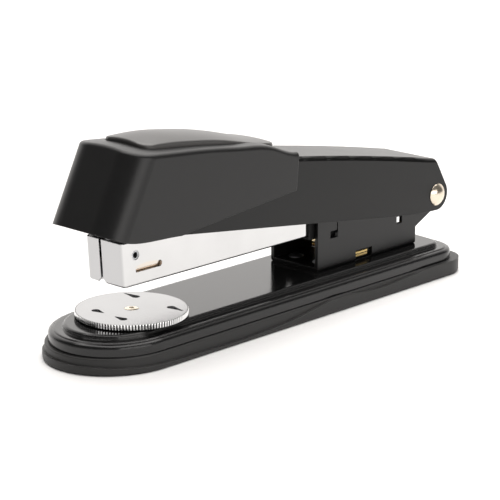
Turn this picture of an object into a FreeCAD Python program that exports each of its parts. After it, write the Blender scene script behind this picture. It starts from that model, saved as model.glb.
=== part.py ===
import FreeCAD, Part
import math
import os

# A desk stapler in its ready position, in millimetres. The nose points towards -X, +Z is up, and
# the origin is in the middle of the underside of the base.

V = FreeCAD.Vector
UP = V(0, 0, 1)
ACROSS = V(0, 1, 0)
ALONG = V(1, 0, 0)

# Overall sizes
staple_reach = 130.4        # pivot axis to the plane in which a staple leaves
base_nose = 19.1            # staple plane to the front of the base
base_tail = 7.8             # pivot axis to the back of the base
base_width = 39.8
nose_stretch = 2.0          # the nose is an ellipse, this much longer than it is half wide
magazine_height = 20.9      # underside of the magazine above the table, at rest
pivot_above_magazine = 3.6

# Base shoe
shoe_height = 4.8
shoe_floor = 1.6
shoe_step = 0.7             # the skirt stands this far outside the upper layer
shoe_edge_round = 0.35
shoe_foot_round = 0.9
shoe_inner_rim = 1.8        # width of the ledge that the plate's rim stands on
shoe_tail_wall = 3.6        # back of the shoe to the back of the plate
shoe_ledge = 0.6            # ledge that the plate's rim stands on, above the floor
tail_bulge = 1.4
tail_corner = 10.0
skirt_lip = 1.5
skirt_tail = 4.35
skirt_tip = 2.8
# The skirt's top edge: distance ahead of the back of the base, height
skirt_tip_reach = 10.0      # from the front: half way up from the tip to the lip
skirt_lip_start = 26.0      # from the front: the lip has its full height
skirt_wave = [(93.8, 1.5), (77.8, 2.9), (63.8, 4.6), (48.8, 3.5), (29.8, 4.2)]

# Base plate
plate_inset = 1.5           # side of the shoe to the side of the plate
plate_sheet = 1.0
plate_nose_stretch = 1.5
plate_shoulder = 8.3        # height of the rim
plate_shoulder_round = 1.2
bead_inset = 1.5
bead_height = 0.3
plateau_inset = 4.1         # side of the plate to the side of the plateau
plateau_height = 9.9
plateau_round = 0.8
plate_clearance = 0.05

# Screws that hold the shoe to the plate
base_screw_r = 1.5
base_screw_head_r = 2.9
base_screw_head = 1.4
base_screw_sunk = 0.5
base_screw_from_anvil = 30.0
base_screw_from_tail = 12.5
base_nut_r = 3.2
base_nut_height = 2.4
post_r = 4.4
screw_clearance = 0.15

# Anvil
anvil_r = 16.15
anvil_thickness = 1.5
anvil_gap = 0.34            # under the disc, above the plateau
anvil_teeth = 116
anvil_tooth_depth = 0.4
anvil_bevel = 0.18
anvil_offset = 8.4          # staple plane to the middle of the disc
pocket_depth = 0.9
pocket_tip_depth = 0.1
pocket_tip_half = 0.15
inner_pocket = 4.6          # middle of the disc's centre line to the middle of a pocket
inner_pocket_length = 4.6
outer_pocket = 9.2
outer_pocket_length = 6.2
pocket_width = 2.4
anvil_rivet_r = 1.5
anvil_rivet_head_r = 2.1
anvil_rivet_head = 0.3
anvil_rivet_dimple_r = 0.7
anvil_rivet_dimple = 0.35
spring_washer_r = 5.2
spring_washer_sheet = 0.4
spring_washer_rise = 0.5
retaining_washer_r = 4.4
retaining_washer = 0.6
anvil_rivet_tail = 0.8

# Staples, size 24/6
staple_crown = 12.9
staple_leg = 6.0
staple_wire_width = 0.7
staple_wire_thickness = 0.5
staples_in_strip = 50
staple_side_gap = 0.25
crown_gap = 0.15
leg_tip_gap = 0.3

# Magazine
channel_sheet = 0.8
channel_height = 12.8
channel_corner = 1.2
channel_bend = 0.8
front_lean = 0.8            # how far the top of the front stands ahead of its bottom
slit = 1.0
slit_aside = 1.5            # middle of the slit, towards the right side of the stapler
exit_length = 2.9
channel_tail = 10.0         # back end of the channel to the pivot axis
front_pin_r = 1.3
front_pin_back = 3.4        # staple plane to the pin
front_pin_height = 8.9
front_pin_bore_r = 0.85
front_pin_recess = 0.15     # end of the pin inside the magazine's outer face
lance_height = 4.4
lance_front = 3.5
lance_length = 9.0
lance_width = 0.9
lance_hole_r = 0.85
carrier_sheet = 0.7
carrier_front = 57.0        # front of the carrier to the pivot axis
carrier_ear_r = 5.4
carrier_top_drop = 1.6
floor_rivet_r = 0.9
floor_rivet_head_r = 1.6
floor_rivet_head = 0.5
floor_rivet_from_pivot = 20.5
floor_rivet_wall_gap = 0.5  # between the rivet heads and the channel's walls

# Staple rail, pusher, rod and spring
rail_sheet = 0.7
rail_tail = 25.0            # back end of the rail to the pivot axis
rail_slot = 3.2
rail_slot_front = 28.0      # front of the rail to the front of its slot
pusher_length = 12.0
pusher_top = 3.4
pusher_gap = 0.3
pusher_tongue = 2.4
pusher_tongue_length = 3.4
pusher_grip = 1.6
rod_r = 1.1
rod_height = 2.7            # rod axis above the floor of the channel
retainer_length = 3.0
pusher_coil_r = 1.75
pusher_wire_r = 0.25
pusher_coils = 20
running_clearance = 0.05

# Bracket
bracket_side_gap = 0.3
bracket_sheet = 1.2
bracket_front = 54.7        # front edge to the pivot axis
bracket_back = 8.7          # back edge to the pivot axis
bracket_back_height = 5.5   # height of the back edge above the plateau
bracket_ear_r = 5.3
bracket_ear_low = 5.4       # underside of the ear below the pivot axis
bracket_front_top = 1.6     # top of the front edge above the pivot axis
bracket_bend = 0.8
notch_front = 37.3          # front of the notch to the pivot axis
notch_length = 7.7
notch_height = 3.1
stop_front = 49.1           # front of the stop tab to the pivot axis
stop_length = 3.0
stop_height = 1.0
stop_below_pivot = 2.9
stop_slit = 0.5
stop_slit_length = 4.5
rear_window = 18.0
rear_window_length = 2.6
rear_window_height = 2.2
bracket_rivet_r = 1.4
bracket_rivet_head_r = 2.5
bracket_rivet_head = 0.9
bracket_rivet_y = 5.0
bracket_rivets_from_pivot = (48.5, 13.0)

# Return spring, a leaf under the carrier
leaf_rivet_gap = 0.3        # between the leaf and the heads of the carrier's rivets
leaf_sheet = 0.7
leaf_foot_front = 39.0      # front of the foot to the pivot axis
leaf_foot_length = 9.0
leaf_tab_length = 5.4       # the folded foot reaches through the bracket's notches on two tabs
leaf_tab_gap = 0.15         # between a tab and the front of its notch
leaf_tab_set_back = 0.15    # end of a tab inside the bracket's outer face
leaf_fold_gap = 0.2         # between the two layers of the folded foot
leaf_tip = 15.0             # highest line of the leaf to the pivot axis
leaf_rivet_r = 1.3
leaf_rivet_head_r = 2.4
leaf_rivet_head = 0.8

# Pivot
pin_r = 2.0
pin_head_r = 3.6
pin_head = 1.5
pin_tail_r = 3.0
pin_tail = 1.0
pin_head_gap = 0.1
pivot_washer = 0.4
pivot_washer_r = 4.4
sleeve_r = 3.1
coil_gap = 0.35
handle_spring_wire_r = 0.55
handle_spring_turns = 6.5
handle_spring_pitch = 1.3
handle_spring_reach = 21.0
handle_spring_edge_gap = 0.1
handle_spring_low_reach = 1.4   # length of the low leg, times its way to the channel's back edge
handle_spring_lap = 0.3     # how far each leg starts inside the winding

# Handle cover
handle_side_gap = 0.6
handle_sheet = 0.9
handle_bend = 1.3
handle_front = 4.4          # staple plane to the front of the cover
handle_front_low = 10.65    # lower front corner above the pivot axis
handle_front_top = 30.6
handle_mid_part = 0.487     # a point along the top, ahead of the pivot axis, as a part of the reach
handle_mid_top = 22.95
handle_rear = 1.1           # upper back corner ahead of the pivot axis
handle_rear_top = 11.8
handle_knee = 23.0          # bend of the lower edge ahead of the pivot axis
handle_knee_low = 2.95
handle_heel = 9.0
handle_heel_low = 4.75
handle_ear_r = 5.1

# Nose cap
cap_nose_half = 14.0
cap_wall = 1.25
cap_roof_wall = 2.2
cap_slip = 0.08             # between the cap and the cover that it sits on
cap_front = 11.9            # staple plane to the foremost line of the lower edge
cap_rear = 62.6             # staple plane to the back of the cap
cap_corner = 8.0
cap_lean = 0.5              # how far the front runs back for each unit of height
cap_low_height = 14.0       # the lower front edge above the pivot axis
cap_edge_round = 1.3
# Crown of the roof: distance behind the staple plane, height above the straight line through the
# cover's front and middle, and the height lost per square of the distance from the centre plane
cap_crown = [(-32.0, 1.54, 0.007), (-12.0, 3.69, 0.007), (0.0, 4.71, 0.007), (7.0, 4.92, 0.006),
             (13.0, 4.95, 0.005), (22.0, 5.15, 0.0045), (32.0, 5.13, 0.004), (41.0, 5.03, 0.004),
             (52.4, 4.58, 0.004), (68.0, 3.18, 0.004)]
# Lower edge of the cap, the same way, from the nose back to where it meets the cover
cap_lower_edge = [(-20.0, 17.6), (-11.9, 14.1), (-6.0, 11.75), (5.3, 10.2), (15.3, 9.6)]
cap_rear_low = 13.7
boss_r = 2.6
cap_screw_r = 1.1
cap_screw_head_r = 2.0
cap_screw_head = 0.9
cap_screws = (20.0, 47.0)   # staple plane to each screw
cap_screw_bite = 2.0

# Top pad
pad_front = 6.0             # staple plane to the front of the pad
pad_rear = 58.6
pad_half = 9.0
pad_corner = 3.6
pad_edge_round = 0.6
# Crown of the pad, the same way as the cap's
pad_crown = [(0.0, 4.96, 0.01), (6.0, 6.20, 0.014), (15.0, 7.85, 0.03), (24.0, 7.95, 0.028),
             (34.0, 7.52, 0.022), (43.0, 6.52, 0.0185), (53.0, 5.10, 0.01), (62.0, 3.45, 0.006)]
pad_sunk = 1.2
pad_gap = 0.3

# Driver
seat_gap = 0.02             # between two surfaces that lie on each other
driver_stroke_deg = 5.0
blade_narrower = 0.3        # than a staple
blade_sheet = 0.5
blade_gap = 0.12
blade_tip = 0.3             # end of the blade above the magazine's underside, fully pressed
blade_height = 22.0
blade_window = 4.0
holder_sheet = 1.2
holder_narrower = 1.6       # than the blade
holder_drop = 9.0
holder_foot = 9.5
driver_rivet_r = 1.1
driver_rivet_head_r = 2.0
driver_rivet_head = 0.7
driver_rivet_edge = 0.1     # from a rivet's head to the holder's edge

# Places and sizes that follow from the values above
base_length = base_nose + staple_reach + base_tail
base_half = base_width / 2
front_x = -base_length / 2
rear_x = base_length / 2
pivot_x = rear_x - base_tail
staple_x = pivot_x - staple_reach
pivot_z = magazine_height + pivot_above_magazine
handle_mid_back = handle_mid_part * staple_reach
pivot = V(pivot_x, 0, pivot_z)
nose_centre_x = front_x + base_half + nose_stretch
anvil_x = staple_x + anvil_offset
plateau_under = plateau_height - plate_sheet
anvil_low = plateau_height + anvil_gap
anvil_top = anvil_low + anvil_thickness

channel_inner = staple_crown / 2 + staple_side_gap
channel_half = channel_inner + channel_sheet
carrier_half = channel_half + carrier_sheet
floor_rivet_y = channel_inner - floor_rivet_wall_gap - floor_rivet_head_r
leaf_width = 2 * (floor_rivet_y - floor_rivet_head_r - leaf_rivet_gap)
bracket_inner = carrier_half + bracket_side_gap
bracket_half = bracket_inner + bracket_sheet
handle_inner = bracket_half + handle_side_gap
handle_half = handle_inner + handle_sheet
cap_rear_half = handle_half + cap_slip + cap_wall

channel_low = magazine_height
channel_floor = channel_low + channel_sheet
channel_top = channel_low + channel_height
channel_front = staple_x - channel_sheet - blade_gap - 0.03
rail_front = channel_front + channel_sheet + blade_gap + blade_sheet + 0.18
leg_tip = channel_floor + leg_tip_gap
crown_top = leg_tip + staple_leg
rail_top = crown_top - staple_wire_thickness - crown_gap
rail_half = staple_crown / 2 - staple_wire_thickness - staple_side_gap
rail_back = pivot_x - rail_tail
rod_z = channel_floor + rod_height
strip_length = staples_in_strip * staple_wire_width
pusher_front = rail_front + strip_length + 0.05
retainer_front = rail_back - retainer_length
bracket_floor_top = plateau_height + bracket_sheet
blade_width = staple_crown - blade_narrower
holder_width = blade_width - holder_narrower
driver_rivet_y = holder_width / 2 - driver_rivet_edge - driver_rivet_head_r


def box(x0, x1, y0, y1, z0, z1):
    return Part.makeBox(x1 - x0, y1 - y0, z1 - z0, V(x0, y0, z0))


def rod_between(radius, start, axis, length):
    return Part.makeCylinder(radius, length, start, axis)


def prism_xz(points, y0, y1):
    """A solid with the side outline `points`, (x, z) each, between two values of y."""
    corners = [V(x, y0, z) for x, z in points]
    face = Part.Face(Part.makePolygon(corners + corners[:1]))
    return face.extrude(V(0, y1 - y0, 0))


def edges_where(shape, test):
    return [edge for edge in shape.Edges if test(edge)]


def runs_along(edge, axis):
    first = edge.Vertexes[0].Point
    last = edge.Vertexes[-1].Point
    run = last - first
    return run.Length > 0 and abs(run.dot(axis)) > 0.999 * run.Length


def revolve_about_z(profile, x, y):
    """A turned piece; `profile` is (radius, z) points, starting and ending anywhere."""
    corners = [V(x + r, y, z) for r, z in profile]
    face = Part.Face(Part.makePolygon(corners + corners[:1]))
    return face.revolve(V(x, y, 0), UP, 360)


def dome(radius, height, base, axis):
    """A low spherical cap standing on `base`, with its top towards `axis`."""
    ball_r = (radius * radius + height * height) / (2 * height)
    centre = base + axis * (height - ball_r)
    ball = Part.makeSphere(ball_r, centre)
    return ball.common(rod_between(radius, base, axis, height))


def write(name, shape):
    shape = shape.removeSplitter() if len(shape.Solids) == 1 else shape
    if not shape.isValid() or not shape.Solids:
        raise ValueError("bad shape: " + name)
    solids = shape.Solids
    kept = solids[0] if len(solids) == 1 else Part.makeCompound(solids)
    kept.exportStep("parts/" + name + ".step")


# Base ---------------------------------------------------------------------------------------------

def track(inset, tail_inset, z0, z1, stretch=nose_stretch):
    """The base's outline moved in by `inset`: round nose, straight sides, softly bowed tail."""
    half = base_half - inset
    back = rear_x - tail_inset
    shoulder = back - tail_bulge
    tip = V(nose_centre_x - half - stretch, 0, z0)
    oval = Part.Ellipse(tip, V(nose_centre_x, half, z0), V(nose_centre_x, 0, z0))
    nose = Part.ArcOfEllipse(oval, -math.pi / 2, math.pi / 2)
    tail = Part.Arc(V(shoulder, half, z0), V(back, 0, z0), V(shoulder, -half, z0))
    sides = [Part.LineSegment(V(nose_centre_x, half, z0), V(shoulder, half, z0)),
             Part.LineSegment(V(shoulder, -half, z0), V(nose_centre_x, -half, z0))]
    wire = Part.Wire([nose.toShape(), sides[0].toShape(), tail.toShape(), sides[1].toShape()])
    solid = Part.Face(wire).extrude(UP * (z1 - z0))
    corners = edges_where(solid, lambda e: runs_along(e, UP) and e.Vertexes[0].X > shoulder - 0.01)
    return solid.makeFillet(tail_corner - inset, corners)


def round_top(solid, radius):
    top = solid.BoundBox.ZMax
    rim = edges_where(solid, lambda e: min(v.Z for v in e.Vertexes) > top - 0.001)
    return solid.makeFillet(radius, rim)


def base_screw_places():
    return [anvil_x + base_screw_from_anvil, rear_x - base_screw_from_tail]


def above_skirt_wave():
    """Everything above the skirt's top edge, which rises in a wave behind the middle."""
    points = [(front_x - 1, skirt_tip), (front_x + skirt_tip_reach, (skirt_tip + skirt_lip) / 2),
              (front_x + skirt_lip_start, skirt_lip)]
    points += [(rear_x - back, height) for back, height in skirt_wave]
    points.append((rear_x + 1, skirt_tail))
    curve = Part.BSplineCurve()
    curve.interpolate([V(x, -base_half - 1, z) for x, z in points])
    start = curve.StartPoint
    end = curve.EndPoint
    high = shoe_height + 2
    rest = Part.makePolygon([end, V(end.x, end.y, high), V(start.x, start.y, high), start])
    face = Part.Face(Part.Wire([curve.toShape()] + rest.Edges))
    return face.extrude(V(0, base_width + 2, 0))


def base_shoe():
    skirt = track(0, 0, 0, shoe_height - 0.05)
    foot = edges_where(skirt, lambda e: e.BoundBox.ZMax < 0.001)
    skirt = skirt.makeFillet(shoe_foot_round, foot).cut(above_skirt_wave())
    upper = round_top(track(shoe_step, shoe_step, 0, shoe_height), shoe_edge_round)
    shoe = skirt.fuse(upper)
    seat = plate_inset - plate_clearance
    tail_seat = shoe_tail_wall - plate_clearance
    high = shoe_height + 1
    shoe = shoe.cut(track(seat, tail_seat, shoe_floor + shoe_ledge, high, plate_nose_stretch))
    shoe = shoe.cut(track(plate_inset + shoe_inner_rim, shoe_tail_wall + shoe_inner_rim, shoe_floor, high,
                          plate_nose_stretch))
    post_top = plateau_under - base_nut_height
    for x in base_screw_places():
        shoe = shoe.fuse(rod_between(post_r, V(x, 0, shoe_floor - 0.5), UP, post_top - shoe_floor + 0.5))
        shoe = shoe.cut(rod_between(base_screw_r + screw_clearance, V(x, 0, -1), UP, post_top + 2))
        sink = base_screw_sunk + base_screw_head
        shoe = shoe.cut(rod_between(base_screw_head_r + screw_clearance, V(x, 0, -1), UP, sink + 1))
    return shoe


def base_plate():
    low = shoe_floor + shoe_ledge
    tail = shoe_tail_wall

    def layer(inset, base, top):
        return track(plate_inset + inset, tail + inset, base, top, plate_nose_stretch)

    rim = round_top(layer(0, low, plate_shoulder), plate_shoulder_round)
    bead = layer(bead_inset, low, plate_shoulder + bead_height)
    plateau = round_top(layer(plateau_inset, low, plateau_height), plateau_round)
    plate = rim.fuse([bead, plateau])
    under = layer(plate_sheet, low - 1, plate_shoulder - plate_sheet)
    hollow = layer(plateau_inset + plate_sheet, low - 1, plateau_under)
    plate = plate.cut(under.fuse(hollow))
    holes = [(anvil_x, 0, anvil_rivet_r + running_clearance)]
    holes += [(x, y, bracket_rivet_r) for x, y in bracket_rivet_places()]
    holes.append((leaf_rivet_x(), 0, leaf_rivet_r))
    for x, y, radius in holes:
        plate = plate.cut(rod_between(radius, V(x, y, plateau_under - 1), UP, plate_sheet + 2))
    return plate


def base_screws():
    screws = []
    for x in base_screw_places():
        screw = rod_between(base_screw_head_r, V(x, 0, base_screw_sunk), UP, base_screw_head)
        length = plateau_under - base_screw_sunk - 0.3
        screw = screw.fuse(rod_between(base_screw_r, V(x, 0, base_screw_sunk), UP, length))
        for turn in (0, 90):
            slot = box(x - 1.6, x + 1.6, -0.35, 0.35, base_screw_sunk - 1, base_screw_sunk + 0.8)
            screw = screw.cut(slot.rotated(V(x, 0, 0), UP, turn))
        screws.append(screw)
    return Part.makeCompound(screws)


def base_nuts():
    nuts = []
    for x in base_screw_places():
        low = plateau_under - base_nut_height
        ring = [V(x + base_nut_r * math.cos(math.radians(60 * i)),
                  base_nut_r * math.sin(math.radians(60 * i)), low) for i in range(6)]
        nut = Part.Face(Part.makePolygon(ring + ring[:1])).extrude(UP * base_nut_height)
        nuts.append(nut.cut(rod_between(base_screw_r, V(x, 0, low - 1), UP, base_nut_height + 2)))
    return Part.makeCompound(nuts)


# Anvil --------------------------------------------------------------------------------------------

def pocket(x, y, length, inward):
    """A clinching pocket: a boat-shaped hollow, deepest at the end where the leg enters."""
    half_length = length / 2
    half = pocket_width / 2
    inner_first = math.copysign(1, y) * (1 if inward else -1)
    entry = y + inner_first * half_length
    tip = y - inner_first * half_length
    mouth = entry - inner_first * half
    z = anvil_top - pocket_depth
    blunt = Part.makeCylinder(half, pocket_depth + 1, V(x, mouth, z), UP)
    tail = [V(x - half, mouth, z), V(x + half, mouth, z), V(x + pocket_tip_half, tip, z),
            V(x - pocket_tip_half, tip, z)]
    wedge = Part.Face(Part.makePolygon(tail + tail[:1])).extrude(UP * (pocket_depth + 1))
    side = [V(x - half - 1, entry, z), V(x - half - 1, tip, anvil_top - pocket_tip_depth),
            V(x - half - 1, tip, anvil_top + 1), V(x - half - 1, entry, anvil_top + 1)]
    above_ramp = Part.Face(Part.makePolygon(side + side[:1])).extrude(V(pocket_width + 2, 0, 0))
    return blunt.fuse(wedge).common(above_ramp)


def anvil_disc():
    ring = []
    for i in range(anvil_teeth):
        for part, radius in ((0.0, anvil_r), (0.5, anvil_r - anvil_tooth_depth)):
            turn = 2 * math.pi * (i + part) / anvil_teeth
            ring.append(V(anvil_x + radius * math.cos(turn), radius * math.sin(turn), anvil_low))
    disc = Part.Face(Part.makePolygon(ring + ring[:1])).extrude(UP * anvil_thickness)
    bevel_r = anvil_r - anvil_bevel
    envelope = [(0, anvil_low), (bevel_r, anvil_low), (anvil_r + 0.01, anvil_low + anvil_bevel),
                (anvil_r + 0.01, anvil_top - anvil_bevel), (bevel_r, anvil_top), (0, anvil_top)]
    disc = disc.common(revolve_about_z(envelope, anvil_x, 0))
    disc = disc.cut(rod_between(anvil_rivet_r, V(anvil_x, 0, anvil_low - 1), UP, anvil_thickness + 2))
    for side in (-1, 1):
        disc = disc.cut(pocket(anvil_x - anvil_offset, side * inner_pocket, inner_pocket_length, True))
        disc = disc.cut(pocket(anvil_x + anvil_offset, side * outer_pocket, outer_pocket_length, False))
    return disc


def anvil_spring_washer():
    """A sprung cone pressed against the underside of the plate."""
    top = plateau_under
    bore = anvil_rivet_r + 0.15
    low = top - spring_washer_rise - spring_washer_sheet
    profile = [(bore, low), (spring_washer_r, top - spring_washer_sheet), (spring_washer_r, top),
               (bore, low + spring_washer_sheet)]
    return revolve_about_z(profile, anvil_x, 0)


def retaining_washer_top():
    return plateau_under - spring_washer_rise - spring_washer_sheet - 0.1


def anvil_retaining_washer():
    low = retaining_washer_top() - retaining_washer
    disc = rod_between(retaining_washer_r, V(anvil_x, 0, low), UP, retaining_washer)
    return disc.cut(rod_between(anvil_rivet_r, V(anvil_x, 0, low - 1), UP, retaining_washer + 2))


def anvil_rivet():
    low = retaining_washer_top() - retaining_washer
    shank = rod_between(anvil_rivet_r, V(anvil_x, 0, low), UP, anvil_top - low)
    head = dome(anvil_rivet_head_r, anvil_rivet_head, V(anvil_x, 0, anvil_top), UP)
    tail = dome(anvil_rivet_head_r, anvil_rivet_tail, V(anvil_x, 0, low), UP * -1)
    dimple_low = anvil_top + anvil_rivet_head - anvil_rivet_dimple
    dimple = rod_between(anvil_rivet_dimple_r, V(anvil_x, 0, dimple_low), UP, 1)
    return shank.fuse([head, tail]).cut(dimple)


# Bracket ------------------------------------------------------------------------------------------

def bracket_rivet_places():
    rows = [pivot_x - back for back in bracket_rivets_from_pivot]
    return [(x, side * bracket_rivet_y) for x in rows for side in (-1, 1)]


def leaf_rivet_x():
    return pivot_x - notch_front + leaf_tab_gap + leaf_tab_length / 2


def leaf_foot_top():
    return bracket_floor_top + 2 * leaf_sheet + leaf_fold_gap


def stop_low():
    return pivot_z - stop_below_pivot


def bracket():
    front = pivot_x - bracket_front
    back = pivot_x - bracket_back
    floor = plateau_height
    ear_low = pivot_z - bracket_ear_low
    outline = [(front, floor), (back, floor), (back, floor + bracket_back_height), (pivot_x - 1, ear_low),
               (pivot_x, ear_low), (pivot_x, pivot_z + bracket_ear_r), (pivot_x - 4, pivot_z + bracket_ear_r),
               (front, pivot_z + bracket_front_top)]
    block = prism_xz(outline, -bracket_half, bracket_half)
    ear = rod_between(bracket_ear_r, V(pivot_x, -bracket_half, pivot_z), ACROSS, 2 * bracket_half)
    block = block.fuse(ear).removeSplitter()
    bends = edges_where(block, lambda e: runs_along(e, ALONG) and e.BoundBox.ZMax < floor + 0.01)
    block = block.makeFillet(bracket_bend, bends)
    inside = box(front - 1, rear_x + 20, -bracket_inner, bracket_inner, bracket_floor_top, pivot_z + 30)
    made = block.cut(inside)
    notch_x = pivot_x - notch_front
    made = made.cut(box(notch_x, notch_x + notch_length, -base_half, base_half,
                        bracket_floor_top - 1.1, bracket_floor_top - 1.1 + notch_height))
    made = made.fuse(box(notch_x - 1, notch_x + notch_length + 1, -bracket_inner + 1.2, bracket_inner - 1.2,
                         floor, bracket_floor_top))
    stop_x = pivot_x - stop_front
    low = stop_low()
    window_low = low - stop_height - 1.2
    made = made.cut(box(stop_x, stop_x + stop_length, -base_half, base_half, window_low, low))
    slit_x = stop_x + stop_length - 0.1
    made = made.cut(box(slit_x, slit_x + stop_slit, -base_half, base_half, window_low,
                        window_low + stop_slit_length))
    for side in (-1, 1):
        tab = box(stop_x, slit_x, channel_half + 0.2, bracket_inner + 0.4, low, low + stop_height)
        made = made.fuse(tab if side > 0 else tab.mirror(V(0, 0, 0), ACROSS))
    window_x = pivot_x - rear_window
    window_z = pivot_z - bracket_ear_low
    made = made.cut(box(window_x, window_x + rear_window_length, -base_half, 0,
                        window_z - rear_window_height / 2, window_z + rear_window_height / 2))
    made = made.cut(rod_between(pin_r, V(pivot_x, -base_half, pivot_z), ACROSS, base_width))
    for x, y in bracket_rivet_places():
        made = made.cut(rod_between(bracket_rivet_r, V(x, y, floor - 1), UP, bracket_sheet + 2))
    return made.cut(rod_between(leaf_rivet_r, V(leaf_rivet_x(), 0, floor - 1), UP, bracket_sheet + 2))


def rivet(x, y, low, high, radius, head_r, head):
    """A rivet with a domed head at each end, clenching what lies between two heights."""
    shank = rod_between(radius, V(x, y, low), UP, high - low)
    return shank.fuse([dome(head_r, head, V(x, y, high), UP), dome(head_r, head, V(x, y, low), UP * -1)])


def bracket_rivets():
    rivets = [rivet(x, y, plateau_under, bracket_floor_top, bracket_rivet_r, bracket_rivet_head_r,
                    bracket_rivet_head) for x, y in bracket_rivet_places()]
    return Part.makeCompound(rivets)


def return_spring():
    """A leaf: a flat foot on the bracket's floor, then a long rise to the underside of the carrier."""
    foot_x = pivot_x - leaf_foot_front
    foot_end = foot_x + leaf_foot_length
    tip_x = pivot_x - leaf_tip
    low = bracket_floor_top
    high = channel_low - carrier_sheet - 0.1
    rise = high - leaf_sheet - low

    def along(z):
        """The leaf's line at height z above the floor: foot, soft S, and a tip that turns down."""
        span = tip_x - foot_end
        points = [V(foot_end, 0, low + z), V(foot_end + 0.3 * span, 0, low + 0.16 * rise + z),
                  V(foot_end + 0.7 * span, 0, low + 0.78 * rise + z), V(tip_x, 0, low + rise + z),
                  V(tip_x + 3, 0, low + rise - 0.9 + z)]
        curve = Part.BSplineCurve()
        curve.interpolate(points, InitialTangent=ALONG * 8, FinalTangent=V(2, 0, -1.3))
        return curve

    lower = along(0)
    upper = along(leaf_sheet)
    outline = [Part.makeLine(V(foot_x, 0, low), V(foot_end, 0, low)), lower.toShape(),
               Part.makeLine(lower.EndPoint, upper.EndPoint), upper.toShape(),
               Part.makeLine(upper.StartPoint, V(foot_x, 0, low + leaf_sheet)),
               Part.makeLine(V(foot_x, 0, low + leaf_sheet), V(foot_x, 0, low))]
    face = Part.Face(Part.Wire(outline))
    leaf = face.extrude(V(0, leaf_width, 0)).translated(V(0, -leaf_width / 2, 0))
    tab_x = pivot_x - notch_front + leaf_tab_gap
    tab_end = tab_x + leaf_tab_length
    tab_half = bracket_half - leaf_tab_set_back
    top = leaf_foot_top()
    foot = box(foot_x, tab_end, -leaf_width / 2, leaf_width / 2, low, top)
    foot = foot.fuse(box(tab_x, tab_end, -tab_half, tab_half, low, top))
    between = box(foot_x + leaf_sheet, tab_end + 1, -base_half, base_half, low + leaf_sheet, top - leaf_sheet)
    leaf = leaf.fuse(foot.cut(between)).removeSplitter()
    return leaf.cut(rod_between(leaf_rivet_r, V(leaf_rivet_x(), 0, low - 1), UP, top - low + 2))


def return_spring_rivet():
    return rivet(leaf_rivet_x(), 0, plateau_under, leaf_foot_top(), leaf_rivet_r, leaf_rivet_head_r,
                 leaf_rivet_head)


# Pivot --------------------------------------------------------------------------------------------

def pivot_pin():
    reach = handle_half + pin_head_gap
    pin = rod_between(pin_r, V(pivot_x, -reach, pivot_z), ACROSS, 2 * reach)
    head = dome(pin_head_r, pin_head, V(pivot_x, -reach, pivot_z), ACROSS * -1)
    tail = dome(pin_tail_r, pin_tail, V(pivot_x, reach, pivot_z), ACROSS)
    return pin.fuse([head, tail])


def pivot_washers():
    washers = []
    for side in (-1, 1):
        start = V(pivot_x, side * bracket_half, pivot_z)
        washer = rod_between(pivot_washer_r, start, ACROSS * side, pivot_washer)
        washers.append(washer.cut(rod_between(pin_r, start, ACROSS * side, pivot_washer)))
    return Part.makeCompound(washers)


def pivot_sleeve():
    start = V(pivot_x, -channel_half, pivot_z)
    tube = rod_between(sleeve_r, start, ACROSS, 2 * channel_half)
    return tube.cut(rod_between(pin_r + running_clearance, start, ACROSS, 2 * channel_half))


def handle_spring():
    """A torsion spring wound round the pivot sleeve; one leg lies in the channel, one lifts the handle."""
    mean_r = sleeve_r + coil_gap + handle_spring_wire_r
    length = handle_spring_turns * handle_spring_pitch
    helix = Part.makeHelix(handle_spring_pitch, length, mean_r)
    section = Part.Wire(Part.makeCircle(handle_spring_wire_r, V(mean_r, 0, 0), ACROSS))
    coil = Part.Wire(helix.Edges).makePipeShell([section], True, True)
    # Turned so that the winding lies across the stapler, starting above the pin and ending below it.
    coil.rotate(V(0, 0, 0), V(1, 1, 1), -120)
    coil.translate(pivot - ACROSS * (length / 2))
    tip_x = pivot_x - handle_spring_reach
    tip_z = cover_top_at(tip_x, handle_sheet) - handle_spring_wire_r - 0.15
    low_knee = V(pivot_x, length / 2, pivot_z - mean_r)
    edge_z = channel_floor + handle_spring_wire_r + handle_spring_edge_gap
    edge = V(pivot_x - channel_tail, length / 2, edge_z)
    legs = [(V(pivot_x, -length / 2, pivot_z + mean_r), V(tip_x, -length / 2, tip_z)),
            (low_knee, low_knee + (edge - low_knee) * handle_spring_low_reach)]
    for knee, tip in legs:
        start = knee + (knee - tip).normalize() * handle_spring_lap
        coil = coil.fuse(rod_between(handle_spring_wire_r, start, tip - start, (tip - start).Length))
    return coil


# Magazine -----------------------------------------------------------------------------------------

def leaning_block(front, half, corner, back, low, high):
    """A block whose front leans forward towards the top, as the magazine's front does."""
    slope = -front_lean / channel_height
    start = front + slope * (low - channel_low)
    plan = box(start, back, -half, half, low, low + 1).Faces
    bottom = [face for face in plan if abs(face.CenterOfMass.z - low) < 0.001][0]
    block = bottom.extrude(V(slope * (high - low), 0, high - low))
    if corner > 0:
        stands = edges_where(block, lambda e: abs(e.Vertexes[0].Z - e.Vertexes[-1].Z) > 1 and
                             max(v.X for v in e.Vertexes) < start + 0.01)
        block = block.makeFillet(corner, stands)
    return block.common(box(front - 20, back - 2, -half - 1, half + 1, low, high))


def floor_rivet_places():
    return [(pivot_x - floor_rivet_from_pivot, side * floor_rivet_y) for side in (-1, 1)]


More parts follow.
